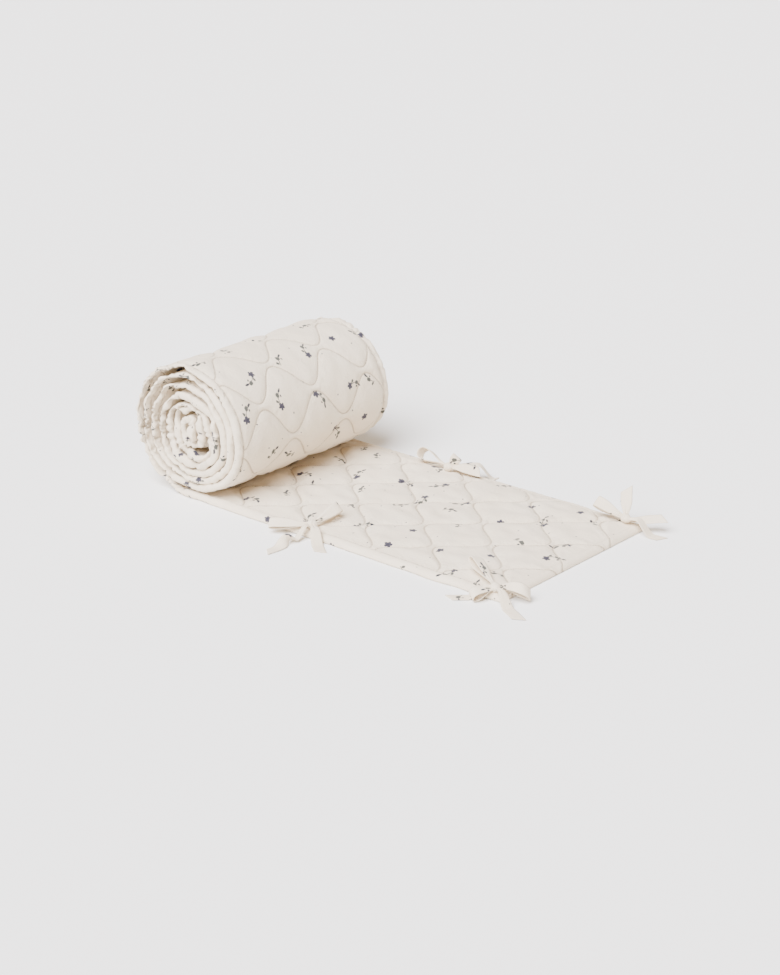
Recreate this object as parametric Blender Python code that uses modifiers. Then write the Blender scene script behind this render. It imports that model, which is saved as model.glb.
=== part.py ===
"""Quilted crib bumper: a long padded band, most of it rolled up, with four bows tied on its edges.

Frame: the origin lies on the floor, straight below the roll's axis and at the middle of the band.
+X runs along the flat stretch to the band's free end, +Y across the band, +Z up. Metres.
The band is followed by s, the distance from its free end along its outer face, which is the
underside of the flat stretch and the outside of the roll.
"""
import math
from bisect import bisect_right
from collections import namedtuple

import bmesh
import bpy
from mathutils import Matrix, Vector

# The band
BAND_WIDTH = 0.300
FLAT_REACH = 0.519
FLAT_THICKNESS = 0.0125
ROLLED_THICKNESS = 0.0118
LAYER_GAP = 0.0014
RIM_THICKNESS = 0.0050
HEM_WIDTH = 0.011
RIM_STRIP = 0.005
RIM_RIPPLES = ((0.0012, 0.047, 1.0), (0.0008, 0.083, 2.0))  # height, length, share of the phase
FAR_RIM_PHASE = 1.7

# The roll, its turns counted from the core out to where the flat stretch leaves it
TURNS = 6.917
PITCH = 0.0132
OUTER_RADIUS = 0.1030
AXIS_X = 0.0033
AXIS_HEIGHT = 0.0868
FLAT_SPOT = 0.0008
CORE_STRETCH = 0.008
CORE_CORNER = 3.0
NEAR_RIM_DRAWN_IN = 0.0025
FAR_RIM_DRAWN_IN = 0.0060
CORE_DRAWN_IN = 0.0034
DRAWN_IN_REACH = 0.120
NEAR_FLARE = 0.0050
NEAR_FLARE_REACH = 0.070
FLARE_TOWARDS = 150.0
FLARE_TURNS = 1.5
FLARE_RETURN = 0.5

# The quilting: wavy seams across the band, each the mirror of the one before
SEAM_PITCH = 0.0544
SEAM_WAVE = 0.100
SEAM_SWING = 0.0225
FIRST_SEAM = 0.0207
FIRST_CREST_Y = 0.014
CREST_DRIFT = -0.0005
LAST_SEAM = 19
END_HEM = 0.008
SEAM_DEPTH = 0.0050
OUTSIDE_RELIEF_STARTS = 0.010
OUTSIDE_RELIEF_REACH = 0.040
HEM_SHARE = 0.8
SHOULDER = 0.009
SHOULDER_SHARE = 0.3
SHOULDER_HEIGHT = 0.8
ROWS_BETWEEN_SEAMS = 5
COLUMNS_BETWEEN_HEMS = 22

# The path's steps and the hidden turns, which start this far past the last seam
FLAT_STEPS = 40
WOUND_STEPS = 1600
ROLL_LEAD = 0.05
STATIONS_PER_TURN = 20
STATIONS_PER_CORE_TURN = 16
CORE_TURNS = 1.0
HIDDEN_MARGIN = 0.006
NEAR_ENOUGH = 1e-6
END_STRIP = 0.001

# The ties
TIE_WIDTH = 0.015
TIE_THICKNESS = 0.0015
TIE_PINCH = 0.5
LOOP_PINCH_ENDS = 0.6
TAIL_PINCH_ENDS = 0.35
KNOT_HALF = (0.0070, 0.0060, 0.0055)
GAP = 0.0003
EDGE_CLEARANCE = 0.002
EDGE_TURN = 0.004
DROP_REACH = 0.022
TWIST_START = 0.30
TWIST_REACH = 0.50
LOOP_STEPS = 18
TAIL_STEPS = 12

Loop = namedtuple("Loop", "heading tilt reach spread roll sag")
Tail = namedtuple("Tail", "heading reach rise tip_height roll twist bend")

# Each bow: where its knot sits (x, y, z), then its loops and its loose ends. Angles are in degrees,
# a heading turning from +X towards +Y, and the rest is in metres.
BOWS = {
    "tie_near_middle": (0.209, -0.139, 0.0152, (
        Loop(heading=209, tilt=-3, reach=0.056, spread=0.0030, roll=-15, sag=0.0),
        Loop(heading=82, tilt=15, reach=0.046, spread=0.0060, roll=50, sag=0.0),
        Tail(heading=-101, reach=0.077, rise=0.003, tip_height=0.0, roll=0, twist=180, bend=0.009),
        Tail(heading=-38, reach=0.057, rise=0.003, tip_height=0.0, roll=0, twist=0, bend=0.0),
    )),
    "tie_near_corner": (0.504, -0.142, 0.0143, (
        Loop(heading=152, tilt=10, reach=0.066, spread=0.0045, roll=15, sag=0.0),
        Loop(heading=24, tilt=14, reach=0.0425, spread=0.0050, roll=45, sag=0.014),
        Loop(heading=238, tilt=-8, reach=0.031, spread=0.0055, roll=-20, sag=0.003),
        Tail(heading=220, reach=0.0555, rise=0.003, tip_height=0.0, roll=0, twist=0, bend=0.0),
        Tail(heading=-30, reach=0.0665, rise=0.003, tip_height=0.0, roll=0, twist=0, bend=0.002),
    )),
    "tie_far_middle": (0.216, 0.125, 0.0180, (
        Loop(heading=168, tilt=3, reach=0.060, spread=0.0050, roll=0, sag=0.0),
        Loop(heading=60, tilt=45, reach=0.018, spread=0.0060, roll=0, sag=0.0),
        Tail(heading=10, reach=0.046, rise=0.004, tip_height=0.017, roll=35, twist=0, bend=0.003),
        Tail(heading=38, reach=0.064, rise=0.004, tip_height=0.0, roll=0, twist=0, bend=0.0),
    )),
    "tie_far_corner": (0.501, 0.130, 0.0167, (
        Loop(heading=186, tilt=18, reach=0.046, spread=0.0070, roll=-13, sag=0.0),
        Tail(heading=125, reach=0.026, rise=0.0, tip_height=0.046, roll=0, twist=-35, bend=0.0),
        Tail(heading=33, reach=0.049, rise=-0.003, tip_height=0.018, roll=25, twist=0, bend=0.0),
        Tail(heading=6, reach=0.0525, rise=0.003, tip_height=0.0, roll=0, twist=0, bend=0.0),
    )),
}

CLOTH_COLOUR = (0.83, 0.78, 0.71, 1.0)
TIE_COLOUR = (0.85, 0.79, 0.72, 1.0)
CLOTH_ROUGHNESS = 0.9


def smooth(value):
    """0 below 0, 1 above 1, and an even slope between."""
    value = min(1.0, max(0.0, value))
    return value * value * (3.0 - 2.0 * value)


def between(low, high, share):
    return low + (high - low) * share


def wound_point(turn):
    """The outer face's place in the XZ plane at a number of turns out from the core, flat where it rests."""
    angle = math.radians(-90.0 - 360.0 * (TURNS - turn))
    radius = OUTER_RADIUS - PITCH * (TURNS - turn)
    core = CORE_STRETCH * (1.0 - turn / TURNS)
    corner = math.tanh(CORE_CORNER * math.sin(angle)) / math.tanh(CORE_CORNER)
    height = radius * math.sin(angle) + core * corner
    if height < 0.0:
        height *= AXIS_HEIGHT / OUTER_RADIUS
    return Vector((AXIS_X + radius * math.cos(angle), 0.0, max(0.0, AXIS_HEIGHT + height - FLAT_SPOT)))


def outer_face_path():
    """Points along the outer face from the free end to the core, with the turn count and s of each."""
    flat = [Vector((between(FLAT_REACH, AXIS_X, i / FLAT_STEPS), 0.0, 0.0)) for i in range(FLAT_STEPS)]
    turns = [TURNS * (1.0 - i / WOUND_STEPS) for i in range(WOUND_STEPS + 1)]
    points = flat + [wound_point(turn) for turn in turns]
    lengths = [0.0]
    for before, after in zip(points, points[1:]):
        lengths.append(lengths[-1] + (after - before).length)
    return points, [TURNS] * FLAT_STEPS + turns, lengths


PATH, PATH_TURNS, PATH_LENGTHS = outer_face_path()
BAND_LENGTH = PATH_LENGTHS[-1]
ROLL_STARTS = FLAT_REACH - AXIS_X


def on_path(s):
    """The outer face's point at s, the direction square to it into the band, and the turn count."""
    i = min(max(bisect_right(PATH_LENGTHS, s) - 1, 0), len(PATH) - 2)
    share = (s - PATH_LENGTHS[i]) / (PATH_LENGTHS[i + 1] - PATH_LENGTHS[i])
    along = PATH[min(i + 2, len(PATH) - 1)] - PATH[max(i - 1, 0)]
    along.normalize()
    turn = between(PATH_TURNS[i], PATH_TURNS[i + 1], share)
    return PATH[i].lerp(PATH[i + 1], share), Vector((along.z, 0.0, -along.x)), turn


def s_of_turn(turn):
    return PATH_LENGTHS[FLAT_STEPS + round(WOUND_STEPS * (1.0 - turn / TURNS))]


def thickness_at(s):
    """The padding's thickness: full on the flat stretch, and what the next turn leaves free in the roll."""
    point, inward, turn = on_path(s)
    room = (wound_point(turn - 1.0) - wound_point(turn)).dot(inward) - LAYER_GAP
    rolled = smooth((s - ROLL_STARTS + ROLL_LEAD) / ROLL_LEAD)
    return between(FLAT_THICKNESS, min(ROLLED_THICKNESS, room), rolled), rolled


def seam(number, y):
    """Where seam `number` lies at y. The one before the first is the band's straight end."""
    if number < 0:
        return 0.0
    inside = BAND_WIDTH / 2 - HEM_WIDTH
    fade = 1.0 - smooth((abs(y) - inside) / HEM_WIDTH)
    crest = FIRST_CREST_Y + CREST_DRIFT * number
    side = 1.0 if number % 2 == 0 else -1.0
    swing = SEAM_SWING * fade * side * math.cos(math.tau * (y - crest) / SEAM_WAVE)
    return max(END_HEM, FIRST_SEAM + SEAM_PITCH * number + swing)


def quilted_row(number, step, y):
    """s at y of one of the rows from a seam to the next, and how far the filling stands out there."""
    near, far = seam(number, y), seam(number + 1, y)
    if step == 0:
        return near, 0.0
    crown = min(1.0, math.sqrt((far - near) / SEAM_PITCH))
    shoulder = min(SHOULDER, SHOULDER_SHARE * (far - near))
    share = (step - 1) / (ROWS_BETWEEN_SEAMS - 2)
    edge = step in (1, ROWS_BETWEEN_SEAMS - 1)
    return between(near + shoulder, far - shoulder, share), crown * (SHOULDER_HEIGHT if edge else 1.0)


def rows_of_band():
    """Each row as (seam number, step) where it is quilted, or (None, s) in the hidden turns."""
    rows = [(number, step) for number in range(-1, LAST_SEAM) for step in range(ROWS_BETWEEN_SEAMS)]
    rows.append((LAST_SEAM, 0))
    reached = FIRST_SEAM + SEAM_PITCH * LAST_SEAM + SEAM_SWING + HIDDEN_MARGIN
    stations = []
    turn = 0.0
    while turn < TURNS:
        stations.append(turn)
        turn += 1.0 / (STATIONS_PER_CORE_TURN if turn < CORE_TURNS else STATIONS_PER_TURN)
    hidden = [s_of_turn(turn) for turn in reversed(stations)]
    return rows + [(None, s) for s in hidden if s > reached]


def columns_of_band():
    """y across the band: rim, hem, evenly spaced columns, hem, rim."""
    half = BAND_WIDTH / 2
    inside = half - HEM_WIDTH
    middle = [between(-inside, inside, i / COLUMNS_BETWEEN_HEMS) for i in range(COLUMNS_BETWEEN_HEMS + 1)]
    return [-half, RIM_STRIP - half] + middle + [half - RIM_STRIP, half]


def near_flare(y, inward, turn):
    """How far the outermost turn loosens at its near end, most on the side away from the flat stretch."""
    towards = math.radians(FLARE_TOWARDS)
    facing = -inward.x * math.cos(towards) - inward.z * math.sin(towards)
    outermost = smooth(turn - TURNS + FLARE_TURNS) * smooth((TURNS - turn) / FLARE_RETURN)
    near = smooth((NEAR_FLARE_REACH - BAND_WIDTH / 2 - y) / NEAR_FLARE_REACH)
    return NEAR_FLARE * max(0.0, facing) * outermost * near


def rim_ripple(s, y):
    """The uneven edge left by the filling: how far the rim stands out at s."""
    phase = 0.0 if y < 0.0 else FAR_RIM_PHASE
    return sum(high * math.sin(math.tau * s / long + phase * turns) for high, long, turns in RIM_RIPPLES)


def band_point(row, y, inner):
    """A point of the band's outer or inner face, its depth taken from the outer face inwards."""
    number, step = row
    quilted = number is not None
    s, pillow = quilted_row(number, step, y) if quilted else (step, 1.0)
    half = BAND_WIDTH / 2
    thickness, rolled = thickness_at(s)
    if quilted and abs(y) > half - HEM_WIDTH - NEAR_ENOUGH:
        pillow = 1.0 - HEM_SHARE if s < ROLL_STARTS else HEM_SHARE
    sunk = SEAM_DEPTH * (1.0 - pillow)
    if inner:
        depth = thickness - sunk * (1.0 - rolled)
    else:
        depth = sunk * smooth((s - ROLL_STARTS - OUTSIDE_RELIEF_STARTS) / OUTSIDE_RELIEF_REACH)
    at_end = s < END_STRIP or s > BAND_LENGTH - END_STRIP
    if at_end or abs(y) > half - NEAR_ENOUGH:
        core_share = max(0.0, (BAND_LENGTH - s) / (BAND_LENGTH - ROLL_STARTS))
        drawn_in = NEAR_RIM_DRAWN_IN if y < 0.0 else FAR_RIM_DRAWN_IN
        drawn_in = between(min(drawn_in, CORE_DRAWN_IN), drawn_in, min(1.0, core_share))
        depth = drawn_in * smooth((s - ROLL_STARTS) / DRAWN_IN_REACH) + (RIM_THICKNESS if inner else 0.0)
    if abs(y) > half - NEAR_ENOUGH:
        y += math.copysign(rim_ripple(s, y), y)
    point, inward, turn = on_path(s)
    point = point + inward * (depth - near_flare(y, inward, turn))
    return Vector((point.x, y, point.z))


def material(name, colour, roughness):
    made = bpy.data.materials.new(name)
    made.use_nodes = True
    shader = made.node_tree.nodes["Principled BSDF"]
    shader.inputs["Base Color"].default_value = colour
    shader.inputs["Roughness"].default_value = roughness
    shader.inputs["Metallic"].default_value = 0.0
    return made


def add_object(name, mesh, collection, finish=None):
    made = bpy.data.objects.new(name, mesh)
    collection.objects.link(made)
    if finish:
        made.data.materials.append(finish)
    return made


def add_band(collection, finish):
    """The band as a grid wrapped round its section, with the ends filled and the plain runs left coarse."""
    rows = rows_of_band()
    columns = columns_of_band()
    around = [(y, False) for y in columns] + [(y, True) for y in reversed(columns)]
    shape = bmesh.new()
    bmesh.ops.create_grid(shape, x_segments=len(around), y_segments=len(rows) - 1, size=0.5)
    place = {}
    for vertex in shape.verts:
        column = round((vertex.co.x + 0.5) * len(around)) % len(around)
        row = round((vertex.co.y + 0.5) * (len(rows) - 1))
        place[vertex] = (column, row)
    points = {key: band_point(rows[key[1]], *around[key[0]]) for key in set(place.values())}
    for vertex, key in place.items():
        vertex.co = points[key]
    first_hidden = next(i for i, row in enumerate(rows) if row[0] is None)
    last_flat = max(i for i, row in enumerate(rows)
                    if row[0] is not None and quilted_row(*row, 0.0)[0] < ROLL_STARTS + SEAM_SWING)
    first_wound = min(i for i, row in enumerate(rows)
                      if row[0] is not None and quilted_row(*row, 0.0)[0] > ROLL_STARTS - SEAM_SWING)
    half = BAND_WIDTH / 2
    plain = []
    for edge in shape.edges:
        (column, row), (other_column, other_row) = (place[vertex] for vertex in edge.verts)
        y, inner = around[column]
        if column != other_column or abs(y) > half - NEAR_ENOUGH:
            continue
        low, high = sorted((row, other_row))
        shows = (high <= last_flat) if inner else (low >= first_wound and high <= first_hidden)
        inside_hems = abs(y) < half - HEM_WIDTH - NEAR_ENOUGH
        rim_strip = abs(y) > half - HEM_WIDTH + NEAR_ENOUGH
        if not shows and (inside_hems or rim_strip):
            plain.append(edge)
    bmesh.ops.dissolve_edges(shape, edges=plain, use_verts=True, use_face_split=False)
    bmesh.ops.remove_doubles(shape, verts=shape.verts, dist=1e-7)
    bmesh.ops.holes_fill(shape, edges=[e for e in shape.edges if e.is_boundary], sides=0)
    bmesh.ops.recalc_face_normals(shape, faces=shape.faces)
    mesh = bpy.data.meshes.new("band")
    shape.to_mesh(mesh)
    shape.free()
    mesh.shade_smooth()
    return add_object("band", mesh, collection, finish)


def pinch(share):
    """A tie's share of its full width: gathered at the knot, flat beyond it."""
    return between(TIE_PINCH, 1.0, smooth(share))


def loop_line(knot, loop):
    """Centres and width directions along a loop that leaves the knot and comes back to it."""
    heading, tilt = math.radians(loop.heading), math.radians(loop.tilt)
    out = Vector((math.cos(heading) * math.cos(tilt), math.sin(heading) * math.cos(tilt), math.sin(tilt)))
    across = Matrix.Rotation(math.radians(loop.roll), 3, out) @ Vector((-math.sin(heading), math.cos(heading), 0.0))
    up = out.cross(across)
    line = []
    for i in range(LOOP_STEPS + 1):
        share = i / LOOP_STEPS
        reach = math.sin(math.pi * share)
        centre = knot + out * loop.reach * reach + up * loop.spread * math.sin(math.tau * share)
        centre.z -= loop.sag * reach * reach
        line.append((centre, across * pinch(reach / LOOP_PINCH_ENDS)))
    return line


def reach_to_edge(knot, out):
    """How far from the knot, along a heading, a strap passes the band's side or free end."""
    side = (BAND_WIDTH / 2 + EDGE_CLEARANCE - abs(knot.y)) / max(NEAR_ENOUGH, out.y * math.copysign(1.0, knot.y))
    end = (FLAT_REACH + EDGE_CLEARANCE - knot.x) / max(NEAR_ENOUGH, out.x)
    return min(side if side > 0.0 else math.inf, end if end > 0.0 else math.inf)


def tail_line(knot, tail):
    """Centres and width directions along a loose end, which drops past the band's edge to lie flat."""
    heading = math.radians(tail.heading)
    out = Vector((math.cos(heading), math.sin(heading), 0.0))
    across = Vector((-out.y, out.x, 0.0))
    edge = reach_to_edge(knot, out)
    tip = tail.tip_height + TIE_THICKNESS / 2 + GAP
    line = []
    for i in range(TAIL_STEPS + 1):
        share = i / TAIL_STEPS
        centre = knot + out * tail.reach * share + across * tail.bend * math.sin(math.pi * share / 2) ** 2
        fall = share if tail.tip_height > 0.0 else smooth((tail.reach * share - edge + EDGE_TURN) / DROP_REACH)
        centre.z = between(knot.z, tip, fall) + tail.rise * math.sin(math.pi * share) * (1.0 - fall)
        line.append((centre, share))
    turned = []
    for i, (centre, share) in enumerate(line):
        along = (line[min(i + 1, TAIL_STEPS)][0] - line[max(i - 1, 0)][0]).normalized()
        turn = math.radians(tail.roll + tail.twist * smooth((share - TWIST_START) / TWIST_REACH))
        width = Matrix.Rotation(turn, 3, along) @ across * pinch(share / TAIL_PINCH_ENDS)
        lowest = abs(width.z) * TIE_WIDTH / 2 + TIE_THICKNESS / 2 + GAP
        turned.append((Vector((centre.x, centre.y, max(centre.z, lowest))), width))
    return turned


def add_strap(name, line, collection):
    """A flat strap along a line of centres and width directions: a strip given its thickness."""
    shape = bmesh.new()
    bmesh.ops.create_grid(shape, x_segments=len(line) - 1, y_segments=1, size=0.5)
    for vertex in shape.verts:
        centre, across = line[round((vertex.co.x + 0.5) * (len(line) - 1))]
        vertex.co = centre + across * (TIE_WIDTH / 2) * (1.0 if vertex.co.y > 0.0 else -1.0)
    mesh = bpy.data.meshes.new(name)
    shape.to_mesh(mesh)
    shape.free()
    strap = add_object(name, mesh, collection)
    strap.hide_render = True
    strap.display_type = "WIRE"
    thicken = strap.modifiers.new("thickness", "SOLIDIFY")
    thicken.thickness = TIE_THICKNESS
    thicken.offset = 0.0
    return strap


def add_tie(name, knot, arms, collection, guides, finish):
    """A bow: its loops and loose ends, joined in a rounded knot that sits on the hem."""
    shape = bmesh.new()
    bmesh.ops.create_uvsphere(shape, u_segments=12, v_segments=8, radius=1.0)
    bmesh.ops.scale(shape, vec=KNOT_HALF, verts=shape.verts)
    mesh = bpy.data.meshes.new(name)
    shape.to_mesh(mesh)
    shape.free()
    mesh.shade_smooth()
    tie = add_object(name, mesh, collection, finish)
    tie.location = knot
    for number, arm in enumerate(arms):
        line = loop_line(knot, arm) if isinstance(arm, Loop) else tail_line(knot, arm)
        strap = add_strap(f"{name}_strap_{number}", line, guides)
        join = tie.modifiers.new(strap.name, "BOOLEAN")
        join.operation = "UNION"
        join.solver = "EXACT"
        join.use_self = True
        join.object = strap
    return tie


def clear_scene():
    for existing in list(bpy.data.objects):
        bpy.data.objects.remove(existing, do_unlink=True)


def build():
    clear_scene()
    bumper = bpy.data.collections.new("crib_bumper")
    guides = bpy.data.collections.new("tie_straps")
    bpy.context.scene.collection.children.link(bumper)
    bpy.context.scene.collection.children.link(guides)
    add_band(bumper, material("padded_cotton", CLOTH_COLOUR, CLOTH_ROUGHNESS))
    for name, (x, y, z, arms) in BOWS.items():
        finish = material(name + "_cotton", TIE_COLOUR, CLOTH_ROUGHNESS)
        add_tie(name, Vector((x, y, z)), arms, bumper, guides, finish)


build()
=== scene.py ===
import math

import bpy
import numpy as np
from mathutils import Matrix, Vector, kdtree


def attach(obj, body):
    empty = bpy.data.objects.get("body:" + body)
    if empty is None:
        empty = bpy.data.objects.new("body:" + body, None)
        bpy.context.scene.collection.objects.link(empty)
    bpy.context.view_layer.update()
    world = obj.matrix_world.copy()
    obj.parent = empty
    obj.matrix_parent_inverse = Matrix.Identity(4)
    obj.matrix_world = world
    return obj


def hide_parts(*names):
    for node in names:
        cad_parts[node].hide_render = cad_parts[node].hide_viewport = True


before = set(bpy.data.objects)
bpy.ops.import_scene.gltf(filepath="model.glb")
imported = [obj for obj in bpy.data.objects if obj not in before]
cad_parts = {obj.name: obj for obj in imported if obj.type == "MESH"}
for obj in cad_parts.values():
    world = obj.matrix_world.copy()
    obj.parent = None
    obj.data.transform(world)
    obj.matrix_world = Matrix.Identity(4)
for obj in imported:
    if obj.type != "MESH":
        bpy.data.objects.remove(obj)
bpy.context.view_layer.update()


# Camera. It stands where the photographer stood, a little over two metres off and
# looking down past the free corner, with the place and lens found from the photo's 780 x 975 frame.
CAMERA_PLACE = (1.977, -2.064, 1.0853)
CAMERA_TURN = math.radians(40.42)
CAMERA_DOWN = math.radians(21.34)
CAMERA_LENS_MM = 82.67
CAMERA_SENSOR_MM = 36.0

camera = bpy.data.objects.new("camera", bpy.data.cameras.new("camera"))
camera.data.lens = CAMERA_LENS_MM
camera.data.sensor_width = CAMERA_SENSOR_MM
camera.location = CAMERA_PLACE
camera.rotation_euler = (math.pi / 2 - CAMERA_DOWN, 0.0, CAMERA_TURN)
bpy.context.scene.collection.objects.link(camera)
bpy.context.scene.camera = camera


# Floor and light. A plain white studio table under one very large soft lamp from the upper left, as
# even as daylight, with pale walls and a warm ceiling that fill the shadows. None of it is part of the
# object.
FLOOR_SIDE = 60.0
FLOOR_Z = -0.0002
FLOOR_COLOUR = "fbfaf8"
LAMP_STRENGTH = 12.0
LAMP_WIDTH = math.radians(50.0)
LAMP_TRAVEL = Vector((-0.03, 0.58, -0.81))
LAMP_COLOUR = "f6f8ff"
WALL_COLOUR = "fffdfa"
WALL_STRENGTH = 2.6
WALL_TOP = 0.10
CEILING_COLOUR = "ffe6c8"
CEILING_STRENGTH = 0.55


def linear(hex_colour, alpha=1.0):
    """An sRGB hex colour as the linear values that a shader socket takes."""
    shares = [int(hex_colour[i:i + 2], 16) / 255 for i in (0, 2, 4)]
    return [c / 12.92 if c <= 0.04045 else ((c + 0.055) / 1.055) ** 2.4 for c in shares] + [alpha]


def add_node(tree, kind, *inputs, output=0, **settings):
    """Adds a node, sets its settings, and joins or sets its inputs in order; gives one of its outputs."""
    node = tree.nodes.new(kind)
    for name, value in settings.items():
        setattr(node, name, value)
    for socket, value in zip([s for s in node.inputs if s.enabled], inputs):
        if isinstance(value, bpy.types.NodeSocket):
            tree.links.new(value, socket)
        elif value is not None:
            socket.default_value = value
    return [s for s in node.outputs if s.enabled][output]


floor_mesh = bpy.data.meshes.new("floor")
floor_half = FLOOR_SIDE / 2
floor_corners = [(x, y, FLOOR_Z) for x, y in ((-1, -1), (1, -1), (1, 1), (-1, 1))]
floor_mesh.from_pydata([(x * floor_half, y * floor_half, z) for x, y, z in floor_corners], [], [(0, 1, 2, 3)])
floor = bpy.data.objects.new("floor", floor_mesh)
bpy.context.scene.collection.objects.link(floor)
floor_paint = bpy.data.materials.new("matt_white_studio_paint")
floor_paint.use_nodes = True
floor_shader = floor_paint.node_tree.nodes["Principled BSDF"]
floor_shader.inputs["Base Color"].default_value = linear(FLOOR_COLOUR)
floor_shader.inputs["Roughness"].default_value = 0.9
floor_mesh.materials.append(floor_paint)

lamp = bpy.data.objects.new("lamp", bpy.data.lights.new("lamp", "SUN"))
lamp.data.energy = LAMP_STRENGTH
lamp.data.angle = LAMP_WIDTH
lamp.data.color = linear(LAMP_COLOUR)[:3]
lamp.rotation_euler = LAMP_TRAVEL.to_track_quat("-Z", "Y").to_euler()
bpy.context.scene.collection.objects.link(lamp)

surround = bpy.data.worlds.new("surround")
surround.use_nodes = True
sky = surround.node_tree.nodes["Background"]
towards = add_node(surround.node_tree, "ShaderNodeTexCoord")
height = add_node(surround.node_tree, "ShaderNodeSeparateXYZ", towards, output=2)
ceiling = add_node(surround.node_tree, "ShaderNodeMapRange", height, WALL_TOP, 3 * WALL_TOP, 0.0, 1.0)
paint = add_node(surround.node_tree, "ShaderNodeMix", ceiling, linear(WALL_COLOUR), linear(CEILING_COLOUR),
                 data_type="RGBA")
glow = add_node(surround.node_tree, "ShaderNodeMapRange", ceiling, 0.0, 1.0, WALL_STRENGTH, CEILING_STRENGTH)
surround.node_tree.links.new(paint, sky.inputs["Color"])
surround.node_tree.links.new(glow, sky.inputs["Strength"])
bpy.context.scene.world = surround


# Band. The padded cotton itself: two printed covers over wadding, quilted with wavy seams, its edges
# turned in and stitched, then rolled up from one end. It is followed by s, the distance from the free
# end along the side that lies on the floor and becomes the roll's outside, as the CAD band is.
BAND_WIDTH = 0.300
FLAT_REACH = 0.519
TURNS = 6.917
PITCH = 0.0132
OUTER_RADIUS = 0.1030
AXIS_X = 0.0033
AXIS_HEIGHT = 0.0868
FLAT_SPOT = 0.0008
CORE_STRETCH = 0.008
CORE_CORNER = 3.0
FLAT_THICKNESS = 0.0125
ROLLED_THICKNESS = 0.0118
LAYER_GAP = 0.0014
ROLL_LEAD = 0.05

SEAM_PITCH = 0.0544
SEAM_WAVE = 0.100
SEAM_SWING = 0.0225
FIRST_SEAM = 0.0207
FIRST_CREST_Y = 0.014
CREST_DRIFT = -0.0005
LAST_SEAM = 20
HEM_WIDTH = 0.011
END_HEM = 0.008
SEAM_THICKNESS = 0.0048
FLAT_SEAM_THICKNESS = 0.0094
PUFF_REACH = 0.0085
FLAT_PUFF_REACH = 0.0050
PUFF_RISE = 0.0012
BY_ROLL_REACH = 0.170

RIM_ROUNDING = 0.0088
FLAT_RIM = 0.0092
FLAT_HEM_THICKNESS = 0.0088
FLAT_HEM_SOFTNESS = 0.45
ROLLED_HEM_THICKNESS = 0.0038
LOOSE_RIM = 0.0056
TIGHT_RIM = 0.0110
INMOST_RIM = 0.0080
PRESSED_APART = 0.0016
GATHER_PITCH = 0.0145
GATHER_REACH = 0.026
FLAT_GATHER = 0.36
TIGHT_GATHER = 0.0024
LOOSE_GATHER = 0.0088
CORE_GATHER = 0.0046
CORE_FILL = 0.0040
NEAR_RIM_DRAWN_IN = 0.0022
FAR_RIM_DRAWN_IN = 0.0052
DRAWN_IN_REACH = 0.120
NEAR_FLARE = 0.0050
NEAR_FLARE_REACH = 0.070
LOOSE_TOWARDS = math.radians(162.0)
CORE_TURNS = 3.1
CORE_LIFT = 0.0070
CORE_LIFT_REACH = 0.080
CORE_BULGE_AT = (0.016, 0.089)
CORE_BULGE_REACH = 0.014
CORE_BULGE = 0.0050
CORE_SLITS = (  # turn count of the layer outside each slit, then its half length and its width
    (3.61, 0.009, 0.0050),
    (2.58, 0.017, 0.0056),
    (1.58, 0.014, 0.0062),
    (1.33, 0.014, 0.0062),
    (2.06, 0.022, 0.0060),
    (3.53, 0.009, 0.0048),
    (4.52, 0.015, 0.0048),
)
SLIT_REACH = 0.110

ROWS_BETWEEN_SEAMS = 21
MIDDLE_COLUMNS = 80
HIDDEN_STEP = 0.0026
PATH_STEPS = 6000
EDGE_STEPS = (0.0, 0.0003, 0.0010, 0.0021, 0.0036, 0.0056, 0.0078)
INNER_EDGE_STEPS = (0.0098, 0.0110, 0.0122, 0.0140, 0.0170)


def smooth(value):
    value = np.clip(value, 0.0, 1.0)
    return value * value * (3.0 - 2.0 * value)


def between(low, high, share):
    return low + (high - low) * share


def crumple(u, v, wavelength, seed):
    """An even random swell of about that wavelength, with a height of about 1 either way."""
    chance = np.random.default_rng(seed)
    total = 0.0
    for _ in range(9):
        heading, phase = chance.uniform(0.0, math.tau, 2)
        number = math.tau / (wavelength * chance.uniform(0.7, 1.4))
        total = total + np.sin(number * (u * math.cos(heading) + v * math.sin(heading)) + phase)
    return total / 3.0


def wound_points(turns):
    """The outer face's places in the XZ plane at these numbers of turns out from the core."""
    angle = np.radians(-90.0 - 360.0 * (TURNS - turns))
    radius = OUTER_RADIUS - PITCH * (TURNS - turns)
    corner = np.tanh(CORE_CORNER * np.sin(angle)) / math.tanh(CORE_CORNER)
    height = radius * np.sin(angle) + CORE_STRETCH * (1.0 - turns / TURNS) * corner
    height = np.where(height < 0.0, height * AXIS_HEIGHT / OUTER_RADIUS, height)
    return AXIS_X + radius * np.cos(angle), np.maximum(0.0, AXIS_HEIGHT + height - FLAT_SPOT)


flat_x = np.linspace(FLAT_REACH, AXIS_X, 400, endpoint=False)
path_turns = np.linspace(TURNS, 0.0, PATH_STEPS + 1)
wound_x, wound_z = wound_points(path_turns)
path_x = np.concatenate([flat_x, wound_x])
path_z = np.concatenate([np.zeros_like(flat_x), wound_z])
path_turns = np.concatenate([np.full_like(flat_x, TURNS), path_turns])
path_s = np.concatenate([[0.0], np.cumsum(np.hypot(np.diff(path_x), np.diff(path_z)))])
path_tangent = np.stack([np.gradient(path_x, path_s), np.gradient(path_z, path_s)])
path_tangent /= np.hypot(*path_tangent)
BAND_LENGTH = path_s[-1]
ROLL_STARTS = FLAT_REACH - AXIS_X


def on_path(s):
    """The outer face's x and z at s, the direction into the band, and the turn count."""
    x, z, turn = (np.interp(s, path_s, known) for known in (path_x, path_z, path_turns))
    along_x, along_z = (np.interp(s, path_s, known) for known in path_tangent)
    return x, z, along_z, -along_x, turn


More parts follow.
